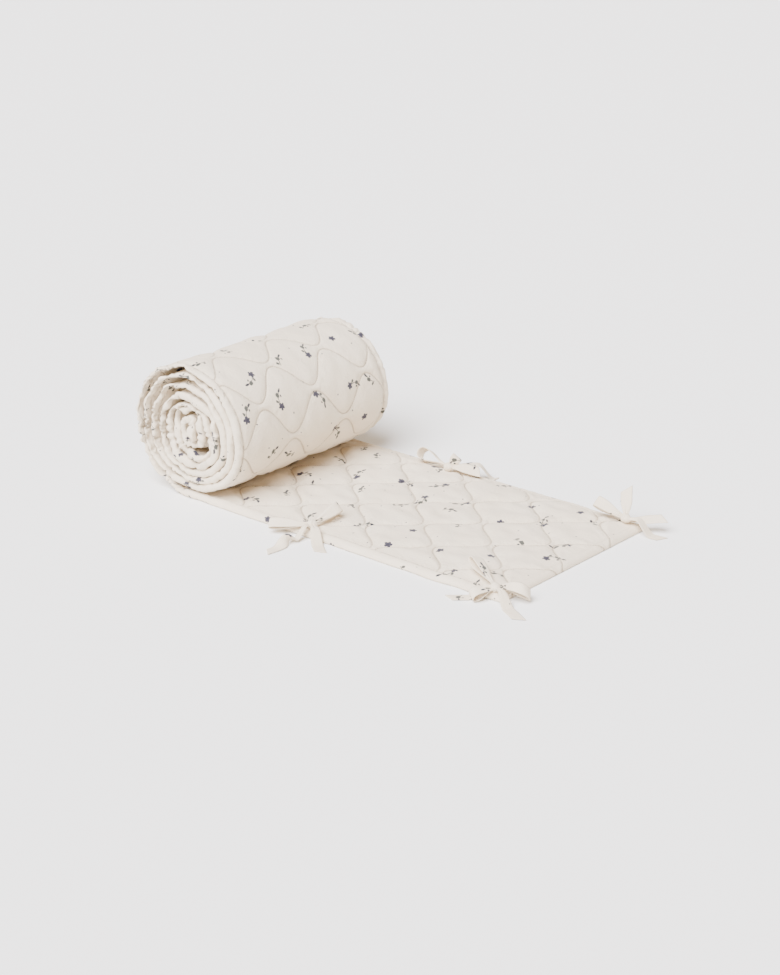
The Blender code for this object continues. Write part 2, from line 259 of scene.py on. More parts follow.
def thickness_at(s):
    """The full padding's thickness, which is what the next turn leaves free in the roll."""
    x, z, in_x, in_z, turn = on_path(s)
    next_x, next_z = wound_points(turn - 1.0)
    room = (next_x - x) * in_x + (next_z - z) * in_z - LAYER_GAP
    rolled = smooth((s - ROLL_STARTS + ROLL_LEAD) / ROLL_LEAD)
    return between(FLAT_THICKNESS, np.minimum(ROLLED_THICKNESS, room), rolled), rolled


def seam(number, y):
    """Where seam `number` lies at y: each wave is the mirror of the one before, and it dies out at the hem."""
    inside = BAND_WIDTH / 2 - HEM_WIDTH
    fade = 1.0 - smooth((np.abs(y) - inside) / HEM_WIDTH)
    crest = FIRST_CREST_Y + CREST_DRIFT * number
    side = 1.0 if number % 2 == 0 else -1.0
    swing = SEAM_SWING * fade * side * np.cos(math.tau * (y - crest) / SEAM_WAVE)
    return np.maximum(END_HEM + 0.0012, FIRST_SEAM + SEAM_PITCH * number + swing)


def seam_samples():
    """Points every half millimetre or so along each seam, and each one's distance along its seam."""
    found, lengths = [], []
    y = np.linspace(-BAND_WIDTH / 2 + HEM_WIDTH, BAND_WIDTH / 2 - HEM_WIDTH, 800)
    for number in range(LAST_SEAM + 1):
        s = seam(number, y)
        along = np.concatenate([[0.0], np.cumsum(np.hypot(np.diff(s), np.diff(y)))])
        found.append(np.stack([s, y], axis=1))
        lengths.append(along + 1.7 * number)
    return np.concatenate(found), np.concatenate(lengths)


def nearest_seam(s, y):
    """The distance from each point to the nearest wavy seam, and how far along that seam it is."""
    samples, lengths = seam_samples()
    tree = kdtree.KDTree(len(samples))
    for i, (at_s, at_y) in enumerate(samples):
        tree.insert((at_s, at_y, 0.0), i)
    tree.balance()
    distance, along = np.empty(len(s)), np.empty(len(s))
    for i, (at_s, at_y) in enumerate(zip(s, y)):
        _, index, distance[i] = tree.find((at_s, at_y, 0.0))
        along[i] = lengths[index]
    return distance, along


def core_lift(turn, y):
    """How far up the innermost turns are pulled at the near end."""
    near = smooth(1.0 - (BAND_WIDTH / 2 + y) / CORE_LIFT_REACH)
    return CORE_LIFT * near * smooth((2.4 - turn) / 1.2)


def slits(s, from_side):
    """How far a layer's inner face stands back from the next layer at the few slits left in the core."""
    depth = 0.0
    for turn, half_length, width in CORE_SLITS:
        middle = np.interp(turn, path_turns[::-1], path_s[::-1])
        depth = depth + width * np.sqrt(np.clip(1.0 - ((s - middle) / half_length) ** 2, 0.0, 1.0))
    return depth * smooth(3.0 * (1.0 - from_side / SLIT_REACH))


def pressed_rim(s, y):
    """The thickness at which a layer's rim nearly touches the next one."""
    x, z, in_x, in_z, turn = on_path(s)
    next_x, next_z = wound_points(turn - 1.0)
    lifted = core_lift(turn - 1.0, y) - core_lift(turn, y)
    room = (next_x - x) * in_x + (next_z - z + lifted) * in_z - PRESSED_APART
    return between(INMOST_RIM, room, smooth((turn - 0.85) / 0.3))


def looseness(in_x, in_z):
    """1 on the side of the roll where the layers hang apart, at its upper left, down to 0 opposite."""
    return smooth(0.55 - 0.62 * (in_x * math.cos(LOOSE_TOWARDS) + in_z * math.sin(LOOSE_TOWARDS)))


def gathers(s, from_side, near, face):
    """How deep the hem's stitching creases the cloth: 0 between creases, 1 at the deepest of them."""
    phase = 1.9 * near + 0.6 * face
    wander = 0.95 * np.sin(math.tau * s / 0.057 + phase) + 1.3 * np.sin(math.tau * s / 0.131 + 2.0 * phase)
    slant = np.sin(math.tau * s / 0.031 + phase) * from_side / 0.012
    crease = 1.0 - np.abs(np.sin(math.pi * (s / GATHER_PITCH + wander + 0.35 * slant))) ** 0.65
    return crease * (0.55 + 0.45 * np.sin(math.tau * s / 0.083 + 1.7 * phase))


def band_faces(s, y, from_seam, along_seam):
    """The depths of the outer and inner face at points of the band, and how far each moves across it."""
    x, z, in_x, in_z, turn = on_path(s)
    thickness, rolled = thickness_at(s)
    near = np.where(y < 0.0, 1.0, 0.0)
    from_side = BAND_WIDTH / 2 - np.abs(y)
    from_edge = np.minimum(from_side, np.minimum(s, BAND_LENGTH - s))
    hem = np.where(s < HEM_WIDTH, END_HEM, HEM_WIDTH)
    from_hem = np.abs(from_edge - hem)
    from_stitch = np.minimum(from_seam, from_hem * between(FLAT_HEM_SOFTNESS, 1.0, rolled))
    loose = looseness(in_x, in_z)
    core = smooth((CORE_TURNS + 0.8 - turn) / 0.8)
    loose = loose * (1.0 - core)
    by_roll = smooth((s - ROLL_STARTS + BY_ROLL_REACH) / BY_ROLL_REACH)
    puff = 1.0 - np.exp(-from_stitch / between(FLAT_PUFF_REACH, PUFF_REACH, by_roll))
    crinkle = crumple(along_seam, 0.3 * from_seam, 0.0068, 11) * np.exp(-((from_stitch - 0.003) / 0.005) ** 2)
    swell = 0.0009 * crumple(s, y, 0.034, 5) * puff + 0.00070 * crinkle * (1.0 - 0.5 * rolled)
    full = thickness + PUFF_RISE * (1.0 - rolled)
    relief = between(between(FLAT_SEAM_THICKNESS, SEAM_THICKNESS, by_roll), full, puff) + swell
    outside = (full - relief) * smooth((s - ROLL_STARTS) / 0.05) * 0.62
    inside = between(relief, full - 0.3 * (full - relief), rolled)

    reach = smooth(1.0 - from_side / GATHER_REACH) * between(FLAT_GATHER, 1.0, rolled)
    deep = between(between(TIGHT_GATHER, LOOSE_GATHER, loose), CORE_GATHER, core) * reach
    outer_gather, inner_gather = (gathers(s, from_side, near, face) for face in (0, 1))
    shift = crumple(s, 0.2 * y, 0.034, 21) * (0.0008 + 0.0012 * loose - 0.0005 * core) * rolled * reach
    shift = shift + (0.0006 - 0.0003 * core) * crumple(s, y, 0.011, 23) * rolled * reach

    strip = between(between(TIGHT_RIM, LOOSE_RIM, loose), pressed_rim(s, y), core)
    strip = between(FLAT_RIM, strip, rolled)
    drawn_in = np.where(y < 0.0, NEAR_RIM_DRAWN_IN, FAR_RIM_DRAWN_IN) * smooth((s - ROLL_STARTS) / DRAWN_IN_REACH)
    rounding_reach = between(RIM_ROUNDING, strip * between(0.50, 0.24, core), rolled)
    rounding = np.sqrt(np.clip(1.0 - np.clip(1.0 - from_edge / rounding_reach, 0.0, 1.0) ** 2, 0.0, 1.0))
    pinched = between(FLAT_HEM_THICKNESS, ROLLED_HEM_THICKNESS, rolled)
    strip_share = smooth(from_hem / 0.0036)
    strip_thick = between(pinched, strip, strip_share) * rounding
    in_strip = from_edge < hem
    flat_bottom = 0.0011 * (1.0 - rounding) * (1.0 - rolled)
    middle = between(strip_thick / 2 + flat_bottom, drawn_in + strip / 2, rolled)
    join = smooth((from_edge - hem) / 0.014)
    beside = outside + 0.0022 * np.exp(-(from_hem / 0.0028) ** 2) * rolled
    seam_middle = between(pinched / 2, drawn_in + strip / 2, rolled)
    outer = np.where(in_strip, middle - strip_thick / 2 + 0.0022 * np.exp(-(from_hem / 0.0020) ** 2) * rolled,
                     between(drawn_in * rolled + 0.0, outside, join) + beside - outside)
    inner = np.where(in_strip, middle + strip_thick / 2,
                     between(seam_middle + pinched / 2, inside, join * 0.35 + 0.65 * puff))
    outer = outer + (deep * outer_gather + shift) * rounding
    inner = inner + (shift - deep * inner_gather) * rounding - near * slits(s, from_side)
    least = 0.0014 * rounding
    lack = np.maximum(0.0, least - (inner - outer))
    outer, inner = outer - lack / 2, inner + lack / 2
    hollow = CORE_FILL * smooth((1.0 - turn) / 0.8) * smooth(1.0 - from_side / 0.05)
    out_of_line = reach * rolled * (0.0010 * crumple(s, 0.0 * y, 0.052, 31) - 0.0056 * np.maximum(loose, 0.85 * core)
                                    * np.maximum(outer_gather, inner_gather) - 0.0006 * outer_gather)
    bulge = np.hypot(x - CORE_BULGE_AT[0], z + core_lift(turn, y) - CORE_BULGE_AT[1]) / CORE_BULGE_REACH
    out_of_line = out_of_line + reach * near * core * CORE_BULGE * np.exp(-bulge ** 2)
    out_of_line = out_of_line + reach * core * 0.0024 * crumple(s, 0.0 * y, 0.045, 47)
    wander = 0.0009 * crumple(s, 0.0 * y, 0.070, 53) * smooth(1.0 - from_side / 0.040)
    out_of_line = out_of_line + wander * smooth(s / 0.04) * (1.0 - rolled)
    return np.maximum(outer, -0.0005), inner + hollow, out_of_line


def flare(s, y):
    """How far the outer turns loosen at their near end, most on the side away from the flat stretch."""
    _, _, in_x, in_z, turn = on_path(s)
    facing = np.maximum(0.0, -in_x * math.cos(LOOSE_TOWARDS) - in_z * math.sin(LOOSE_TOWARDS))
    outermost = smooth((turn - TURNS + 3.6) / 3.2) * smooth((TURNS - turn) / 0.5)
    near = smooth((NEAR_FLARE_REACH - BAND_WIDTH / 2 - y) / NEAR_FLARE_REACH)
    return NEAR_FLARE * facing * outermost * near


def band_rows():
    """Each row of the band as a function of y: straight by the free end, then from seam to seam, then hidden."""
    steps = np.arange(ROWS_BETWEEN_SEAMS) / ROWS_BETWEEN_SEAMS
    steps = 0.4 * steps + 0.3 * (1.0 - np.cos(math.pi * steps))
    rows = [lambda y, s=s: np.full_like(y, s) for s in EDGE_STEPS if s < END_HEM]
    rows.append(lambda y: np.full_like(y, END_HEM))
    for number in range(-1, LAST_SEAM):
        for step in steps:
            if number < 0:
                if step > 0.0:
                    rows.append(lambda y, step=step: between(END_HEM, seam(0, y), step))
            else:
                rows.append(lambda y, n=number, step=step: between(seam(n, y), seam(n + 1, y), step))
    hidden_from = FIRST_SEAM + SEAM_PITCH * LAST_SEAM + SEAM_SWING + 0.004
    rows.append(lambda y: seam(LAST_SEAM, y))
    for s in np.arange(hidden_from, BAND_LENGTH - EDGE_STEPS[-1], HIDDEN_STEP):
        rows.append(lambda y, s=s: np.full_like(y, s))
    for step in reversed(EDGE_STEPS):
        rows.append(lambda y, s=BAND_LENGTH - step: np.full_like(y, s))
    return rows, hidden_from


def band_columns():
    """y of the fine columns from rim to rim, and which of them the hidden stretches keep."""
    edge = [-BAND_WIDTH / 2 + step for step in EDGE_STEPS + INNER_EDGE_STEPS]
    middle = np.linspace(edge[-1], -edge[-1], MIDDLE_COLUMNS + 1)[1:-1]
    columns = np.array(edge + list(middle) + [-y for y in reversed(edge)])
    kept = np.zeros(len(columns), bool)
    kept[:len(edge)] = True
    kept[-len(edge):] = True
    kept[[len(columns) // 3, -len(columns) // 3]] = True
    return columns, kept


def face_points(s, y, from_seam, along_seam):
    """Where these points of the band lie on its outer and on its inner face."""
    outer, inner, out_of_line = band_faces(s, y, from_seam, along_seam)
    x, z, in_x, in_z, turn = on_path(s)
    placed_y = y + np.sign(y) * out_of_line
    rim_share = smooth(1.0 - (BAND_WIDTH / 2 - np.abs(y)) / 0.04) * smooth((CORE_TURNS + 1.4 - turn) / 1.4)
    x = x + 0.0014 * rim_share * crumple(x, z, 0.038, 41)
    z = z + 0.0014 * rim_share * crumple(x, z, 0.038, 43) + core_lift(turn, y)
    faces = []
    for depth in (outer, inner):
        depth = depth - flare(s, y)
        faces.append(np.stack([x + in_x * depth, placed_y, np.maximum(0.0, z + in_z * depth)], axis=-1))
    return faces


def build_band():
    """The band's mesh: a closed shell of an outer and an inner face, fine where it shows."""
    rows, hidden_from = band_rows()
    columns, kept = band_columns()
    s = np.array([row(columns) for row in rows])
    y = np.broadcast_to(columns, s.shape).copy()
    middle_s = s[:, len(columns) // 2]
    from_seam, along_seam = np.full(s.shape, 1.0), np.zeros(s.shape)
    quilted = middle_s < hidden_from
    distance, along = nearest_seam(s[quilted].ravel(), y[quilted].ravel())
    from_seam[quilted] = distance.reshape(-1, len(columns))
    along_seam[quilted] = along.reshape(-1, len(columns))
    layers = face_points(s, y, from_seam, along_seam)
    cloth_y = [y.copy(), y.copy()]
    for face in (0, 1):
        across = np.linalg.norm(np.diff(layers[face], axis=1), axis=2)
        for column in reversed(range((EDGE_STEPS + INNER_EDGE_STEPS).index(HEM_WIDTH))):
            cloth_y[face][:, column] = cloth_y[face][:, column + 1] - across[:, column]
            cloth_y[face][:, -1 - column] = cloth_y[face][:, -2 - column] + across[:, -1 - column]
    cloth_y[1] = BAND_WIDTH - cloth_y[1]
    fine = [(middle_s > ROLL_STARTS - 0.03) & (middle_s < hidden_from), middle_s < ROLL_STARTS + 0.06]
    fine[0][0] = fine[1][0]
    last_row, last = len(rows) - 1, len(columns) - 1
    points, place = [], -np.ones((2, *s.shape), int)
    for face in (0, 1):
        for row in range(len(rows)):
            for column in range(len(columns)):
                if not (fine[face][row] or kept[column]):
                    continue
                if face == 1 and (column in (0, last) or row in (0, last_row)):
                    place[1, row, column] = place[0, row, column]
                    continue
                place[face, row, column] = len(points)
                points.append(layers[face][row, column])
    polygons, corners = [], []

    def lay(face, ring):
        """Adds a polygon. One at a corner of the band is cut from its free point, so that the faces' cuts differ."""
        ring = ring[::-1] if face == 0 else ring
        free = [i for i, (r, c) in enumerate(ring) if 0 < r < last_row and 0 < c < last]
        if len(ring) == 4 and len(free) == 1:
            ring = ring[free[0]:] + ring[:free[0]]
            parts = (ring[:3], [ring[0], *ring[2:]])
        else:
            parts = (ring,)
        for part in parts:
            polygons.append([place[face, r, c] for r, c in part])
            for r, c in part:
                corners.extend((s[r, c], cloth_y[face][r, c]))

    kept_columns = np.flatnonzero(kept)
    for face in (0, 1):
        for row in range(len(rows) - 1):
            both = fine[face][row] and fine[face][row + 1]
            stops = np.arange(len(columns)) if both else kept_columns
            for a, b in zip(stops, stops[1:]):
                low = range(a, b + 1) if fine[face][row] else (a, b)
                high = range(a, b + 1) if fine[face][row + 1] else (a, b)
                lay(face, [(row, c) for c in low] + [(row + 1, c) for c in reversed(high)])
    mesh = bpy.data.meshes.new("padded_band")
    mesh.from_pydata(points, [], polygons)
    mesh.uv_layers.new(name="cloth").data.foreach_set("uv", np.array(corners, np.float32))
    mesh.shade_smooth()
    return mesh


# The cover's cloth is washed cotton percale: plain woven, matt, printed with scattered small flowers,
# leaves and dots in faded inks, and softly creased.
# The seam and hem lines are darkened with painted shade, which stands in for the shadow in their stitched grooves.
COTTON_COLOUR = "eaddc8"
COTTON_SHADE_COLOUR = "e2d1b8"
SEAM_GROOVE_PAINTED_SHADE = "8d7658"
BLOSSOM_COLOUR = "3b3843"
HEART_COLOUR = "2c2833"
LEAF_COLOUR = "4f4f48"
BUD_COLOUR = "333237"
STEM_COLOUR = "5f5c55"
MOTIF_CELL_MM = 60.0
MOTIF_JITTER_MM = 23.0
DOT_CELL_MM = 31.0
DOT_JITTER_MM = 20.0
MOTIFS = (  # colour, then the ovals of one motif: middle x, y, half length, half width, turn
    (LEAF_COLOUR, ((15.0, -4.0, 3.8, 2.9, -20.0), (8.3, 2.2, 2.7, 1.8, 25.0))),
    (BUD_COLOUR, ((18.6, -10.5, 3.6, 1.7, -62.0), (11.6, -8.1, 2.0, 1.2, -10.0))),
    (BLOSSOM_COLOUR, ((3.0, 0.6, 2.6, 2.1, 10.0), (0.4, 2.9, 2.5, 2.0, 82.0), (-2.7, 1.2, 2.6, 2.0, 154.0),
                      (-2.0, -2.2, 2.5, 2.1, 226.0), (1.3, -2.6, 2.4, 2.0, 298.0))),
    (HEART_COLOUR, ((0.0, 0.0, 1.6, 1.3, 0.0),)),
)
STEM_MIDDLE_MM = (3.9, -14.6)
STEM_RADIUS_MM = 14.3
STEM_HALF_WIDTH_MM = 0.4
DOT_RADIUS_MM = 0.95
INK_EDGE_MM = 0.3
THREAD_SPACING_MM = 1.0  # the real threads lie 0.25 mm apart, too fine to show
CREASE_MM = 11.0
PUCKER_MM = 6.0
PUCKER_REACH_MM = 13.0
HEM_FAINTER_MM = 0.6


def scattered(tree, cloth_mm, cell, jitter, seed):
    """Millimetres from the nearest motif's middle, turned its own way, and that motif's own chance."""
    share = add_node(tree, "ShaderNodeVectorMath", cloth_mm, (1 / cell, 1 / cell, 0.0), operation="MULTIPLY")
    column = add_node(tree, "ShaderNodeMath", add_node(tree, "ShaderNodeSeparateXYZ", share), operation="FLOOR")
    drop = add_node(tree, "ShaderNodeMath", column, 0.5, operation="MULTIPLY")
    share = add_node(tree, "ShaderNodeVectorMath", share, add_node(tree, "ShaderNodeCombineXYZ", 0.0, drop, 0.0))
    number = add_node(tree, "ShaderNodeVectorMath", share, operation="FLOOR")
    chance_at = add_node(tree, "ShaderNodeVectorMath", number, (seed, 2.0 * seed, 3.0 * seed))
    chance = add_node(tree, "ShaderNodeTexWhiteNoise", chance_at)
    colour = add_node(tree, "ShaderNodeTexWhiteNoise", chance_at, output=1)
    moved = add_node(tree, "ShaderNodeVectorMath", colour, (0.5, 0.5, 0.5), operation="SUBTRACT")
    moved = add_node(tree, "ShaderNodeVectorMath", moved, (jitter, jitter, 0.0), operation="MULTIPLY")
    inside = add_node(tree, "ShaderNodeVectorMath", share, number, operation="SUBTRACT")
    inside = add_node(tree, "ShaderNodeVectorMath", inside, (0.5, 0.5, 0.0), operation="SUBTRACT")
    inside = add_node(tree, "ShaderNodeVectorMath", inside, (cell, cell, 0.0), operation="MULTIPLY")
    inside = add_node(tree, "ShaderNodeVectorMath", inside, moved, operation="SUBTRACT")
    turn = add_node(tree, "ShaderNodeSeparateColor", colour, output=2)
    turn = add_node(tree, "ShaderNodeMath", turn, math.tau, operation="MULTIPLY")
    turned = add_node(tree, "ShaderNodeVectorRotate", inside, (0.0, 0.0, 0.0), turn, rotation_type="Z_AXIS")
    return turned, chance


def from_seams_mm(tree, cloth_mm):
    """The distance to the nearest wavy seam, worked out as the seams themselves are."""
    s = add_node(tree, "ShaderNodeSeparateXYZ", cloth_mm)
    y = add_node(tree, "ShaderNodeSeparateXYZ", cloth_mm, output=1)
    half = BAND_WIDTH * 500
    y = add_node(tree, "ShaderNodeMath", y, half, operation="SUBTRACT")
    y = add_node(tree, "ShaderNodeMath", y, operation="ABSOLUTE")
    y = add_node(tree, "ShaderNodeMath", half, y, operation="SUBTRACT")
    s = add_node(tree, "ShaderNodeMath", s, -FIRST_SEAM * 1000)
    crest = add_node(tree, "ShaderNodeMath", s, CREST_DRIFT / SEAM_PITCH, FIRST_CREST_Y * 1000,
                     operation="MULTIPLY_ADD")
    angle = add_node(tree, "ShaderNodeMath", y, crest, operation="SUBTRACT")
    angle = add_node(tree, "ShaderNodeMath", angle, math.tau / (SEAM_WAVE * 1000), operation="MULTIPLY")
    swing = add_node(tree, "ShaderNodeMath", angle, operation="COSINE")
    swing = add_node(tree, "ShaderNodeMath", swing, SEAM_SWING * 1000, operation="MULTIPLY")
    slope = add_node(tree, "ShaderNodeMath", angle, operation="SINE")
    slope = add_node(tree, "ShaderNodeMath", slope, SEAM_SWING * math.tau / SEAM_WAVE, operation="MULTIPLY")
    steep = add_node(tree, "ShaderNodeMath", slope, slope, 1.0, operation="MULTIPLY_ADD")
    steep = add_node(tree, "ShaderNodeMath", steep, operation="SQRT")
    nearest = None
    for side, start in ((-1.0, 0.0), (1.0, -SEAM_PITCH * 1000)):
        away = add_node(tree, "ShaderNodeMath", swing, side, s, operation="MULTIPLY_ADD")
        away = add_node(tree, "ShaderNodeMath", away, start)
        away = add_node(tree, "ShaderNodeMath", away, SEAM_PITCH * 1000, operation="PINGPONG")
        nearest = away if nearest is None else add_node(tree, "ShaderNodeMath", nearest, away, operation="MINIMUM")
    nearest = add_node(tree, "ShaderNodeMath", nearest, steep, operation="DIVIDE")
    hem = add_node(tree, "ShaderNodeMath", y, operation="ABSOLUTE")
    hem = add_node(tree, "ShaderNodeMath", hem, half - HEM_WIDTH * 1000, operation="SUBTRACT")
    past_hem = add_node(tree, "ShaderNodeMath", hem, 0.0, operation="GREATER_THAN")
    nearest = add_node(tree, "ShaderNodeMath", past_hem, 100.0, nearest, operation="MULTIPLY_ADD")
    hem = add_node(tree, "ShaderNodeMath", hem, operation="ABSOLUTE")
    hem = add_node(tree, "ShaderNodeMath", hem, HEM_FAINTER_MM)
    return add_node(tree, "ShaderNodeMath", nearest, hem, operation="MINIMUM")


def printed_cotton(name, quilted):
    """The cotton, its print and its weave following the piece's own cloth map, in metres of cloth."""
    cotton = bpy.data.materials.new(name)
    cotton.use_nodes = True
    tree = cotton.node_tree
    shader = tree.nodes["Principled BSDF"]
    cloth = add_node(tree, "ShaderNodeUVMap", uv_map="cloth")
    cloth_mm = add_node(tree, "ShaderNodeVectorMath", cloth, (1000.0, 1000.0, 0.0), operation="MULTIPLY")
    tone = add_node(tree, "ShaderNodeTexNoise", cloth_mm, 0.018, 2.0)
    colour = add_node(tree, "ShaderNodeMix", tone, linear(COTTON_COLOUR), linear(COTTON_SHADE_COLOUR),
                      data_type="RGBA")
    if quilted:
        seam_mm = from_seams_mm(tree, cloth_mm)
        # Painted shade: within about a millimetre of each seam line the cloth is darkened towards brown, fainter
        # along the hems, standing in for the shadow in the stitched groove.
        line = add_node(tree, "ShaderNodeMapRange", seam_mm, 0.3, 1.3, 0.62, 0.0)
        colour = add_node(tree, "ShaderNodeMix", line, colour, linear(SEAM_GROOVE_PAINTED_SHADE), data_type="RGBA")

    waver = add_node(tree, "ShaderNodeTexNoise", cloth_mm, 0.3, 1.0, output=1)
    waver = add_node(tree, "ShaderNodeVectorMath", waver, (0.5, 0.5, 0.5), operation="SUBTRACT")
    waver = add_node(tree, "ShaderNodeVectorMath", waver, (2.4, 2.4, 0.0), operation="MULTIPLY")
    drawn_mm = add_node(tree, "ShaderNodeVectorMath", cloth_mm, waver)
    place, chance = scattered(tree, drawn_mm, MOTIF_CELL_MM, MOTIF_JITTER_MM, 3.0)
    flower_here = add_node(tree, "ShaderNodeMath", chance, 0.64, operation="LESS_THAN")
    sprig_here = add_node(tree, "ShaderNodeMath", chance, 0.20, operation="GREATER_THAN")

    arc = add_node(tree, "ShaderNodeVectorMath", place, (*STEM_MIDDLE_MM, 0.0), operation="SUBTRACT")
    x = add_node(tree, "ShaderNodeSeparateXYZ", arc)
    quarter = add_node(tree, "ShaderNodeMath", x, 0.0, operation="GREATER_THAN")
    arc = add_node(tree, "ShaderNodeVectorMath", arc, operation="LENGTH")
    arc = add_node(tree, "ShaderNodeMath", arc, -STEM_RADIUS_MM)
    arc = add_node(tree, "ShaderNodeMath", arc, operation="ABSOLUTE")
    ink = add_node(tree, "ShaderNodeMapRange", arc, STEM_HALF_WIDTH_MM, STEM_HALF_WIDTH_MM + INK_EDGE_MM, 1.0, 0.0)
    y = add_node(tree, "ShaderNodeSeparateXYZ", place, output=1)
    above = add_node(tree, "ShaderNodeMath", y, -9.0, operation="GREATER_THAN")
    for gate in (quarter, above, sprig_here):
        ink = add_node(tree, "ShaderNodeMath", ink, gate, operation="MULTIPLY")
    colour = add_node(tree, "ShaderNodeMix", ink, colour, linear(STEM_COLOUR), data_type="RGBA")

    for part, (ink_colour, ovals) in enumerate(MOTIFS):
        shape = None
        for at_x, at_y, half_length, half_width, turn in ovals:
            spot = add_node(tree, "ShaderNodeMapping", place, (at_x, at_y, 0.0),
                            (0.0, 0.0, math.radians(turn)), (half_length, half_width, 1.0), vector_type="TEXTURE")
            spot = add_node(tree, "ShaderNodeVectorMath", spot, operation="LENGTH")
            shape = spot if shape is None else add_node(tree, "ShaderNodeMath", shape, spot, operation="MINIMUM")
        ink = add_node(tree, "ShaderNodeMapRange", shape, 0.9, 1.08, 1.0, 0.0)
        ink = add_node(tree, "ShaderNodeMath", ink, sprig_here if part < 2 else flower_here, operation="MULTIPLY")
        colour = add_node(tree, "ShaderNodeMix", ink, colour, linear(ink_colour), data_type="RGBA")

    spot, chance = scattered(tree, drawn_mm, DOT_CELL_MM, DOT_JITTER_MM, 17.0)
    spot = add_node(tree, "ShaderNodeVectorMath", spot, operation="LENGTH")
    ink = add_node(tree, "ShaderNodeMapRange", spot, DOT_RADIUS_MM, DOT_RADIUS_MM + INK_EDGE_MM, 0.9, 0.0)
    here = add_node(tree, "ShaderNodeMath", chance, 0.42, operation="LESS_THAN")
    ink = add_node(tree, "ShaderNodeMath", ink, here, operation="MULTIPLY")
    colour = add_node(tree, "ShaderNodeMix", ink, colour, linear(BLOSSOM_COLOUR), data_type="RGBA")
    tree.links.new(colour, shader.inputs["Base Color"])

    across = add_node(tree, "ShaderNodeTexWave", cloth_mm, 1 / (THREAD_SPACING_MM * 3.2), 1.5,
                      bands_direction="X", output=1)
    along = add_node(tree, "ShaderNodeTexWave", cloth_mm, 1 / (THREAD_SPACING_MM * 3.2), 1.5,
                     bands_direction="Y", output=1)
    weave = add_node(tree, "ShaderNodeMath", across, along, operation="MULTIPLY")
    normal = add_node(tree, "ShaderNodeBump", 0.6, 0.0002, 0.1, weave)
    crease = add_node(tree, "ShaderNodeTexNoise", cloth_mm, 1 / CREASE_MM, 3.0, 0.55, 2.0, 0.6)
    normal = add_node(tree, "ShaderNodeBump", 0.6, 0.0016, 0.1, crease, normal)
    if quilted:
        near_seam = add_node(tree, "ShaderNodeMapRange", seam_mm, 1.0, PUCKER_REACH_MM, 1.0, 0.0)
        pucker = add_node(tree, "ShaderNodeTexNoise", cloth_mm, 1 / PUCKER_MM, 1.5, 0.5, 2.0, 0.9)
        pucker = add_node(tree, "ShaderNodeMath", pucker, near_seam, operation="MULTIPLY")
        normal = add_node(tree, "ShaderNodeBump", 0.75, 0.0022, 0.1, pucker, normal)
        groove = add_node(tree, "ShaderNodeMapRange", seam_mm, 0.0, 2.2, 0.0, 1.0, interpolation_type="SMOOTHSTEP")
        normal = add_node(tree, "ShaderNodeBump", 0.7, 0.0009, 0.1, groove, normal)
    tree.links.new(normal, shader.inputs["Normal"])
    shader.inputs["Roughness"].default_value = 0.92
    shader.inputs["Specular IOR Level"].default_value = 0.3
    shader.inputs["Sheen Weight"].default_value = 0.12
    shader.inputs["Sheen Roughness"].default_value = 0.6
    return cotton


band = bpy.data.objects.new("padded_band", build_band())
bpy.context.scene.collection.objects.link(band)
band.data.materials.append(printed_cotton("washed_printed_cotton_percale", quilted=True))
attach(band, "root")
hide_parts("band")


# Stitches. Polyester sewing thread, machine lockstitch: one row along each wavy seam and along
# the hems, sunk in the groove that it pulls into the padding. They show on both faces.
STITCH_SPACING = 0.0031
STITCH_HALF_LENGTH = 0.0013
STITCH_HALF_WIDTH = 0.00028
STITCH_PROUD = 0.00012
THREAD_COLOUR = "d9cab3"


def stitch_lines():
    """The rows of stitches as lines of edges lying just proud of the cloth."""
    points, edges = [], []
    side = BAND_WIDTH / 2 - HEM_WIDTH
    rows = []
    for number in range(LAST_SEAM):
        y = np.linspace(-side, side, 240)
        s = seam(number, y)
        along = np.concatenate([[0.0], np.cumsum(np.hypot(np.diff(s), np.diff(y)))]) + 1.7 * number
        rows.append((s, y, np.zeros(len(y)), along))
    for y_side in (-side, side):
        s = np.arange(END_HEM, FIRST_SEAM + SEAM_PITCH * LAST_SEAM, 0.002)
        rows.append((s, np.full(len(s), y_side), np.full(len(s), 1.0), np.zeros(len(s))))
    y = np.linspace(-side, side, 150)
    rows.append((np.full(len(y), END_HEM), y, np.full(len(y), 1.0), np.zeros(len(y))))
    for s, y, from_seam, along in rows:
        faces = face_points(s, y, from_seam, along)
        _, _, in_x, in_z, _ = on_path(s)
        inward = np.stack([in_x, np.zeros(len(s)), in_z], axis=-1)
        for face, shows in ((0, s > ROLL_STARTS - 0.03), (1, s < ROLL_STARTS + 0.05)):
            line = faces[face] + inward * (STITCH_PROUD if face else -STITCH_PROUD)
            line[:, 2] = np.maximum(line[:, 2], STITCH_HALF_WIDTH)
            for i in np.flatnonzero(shows):
                if i and shows[i - 1]:
                    edges.append((len(points) - 1, len(points)))
                points.append(line[i])
    mesh = bpy.data.meshes.new("stitch_lines")
    mesh.from_pydata(points, edges, [])
    return mesh


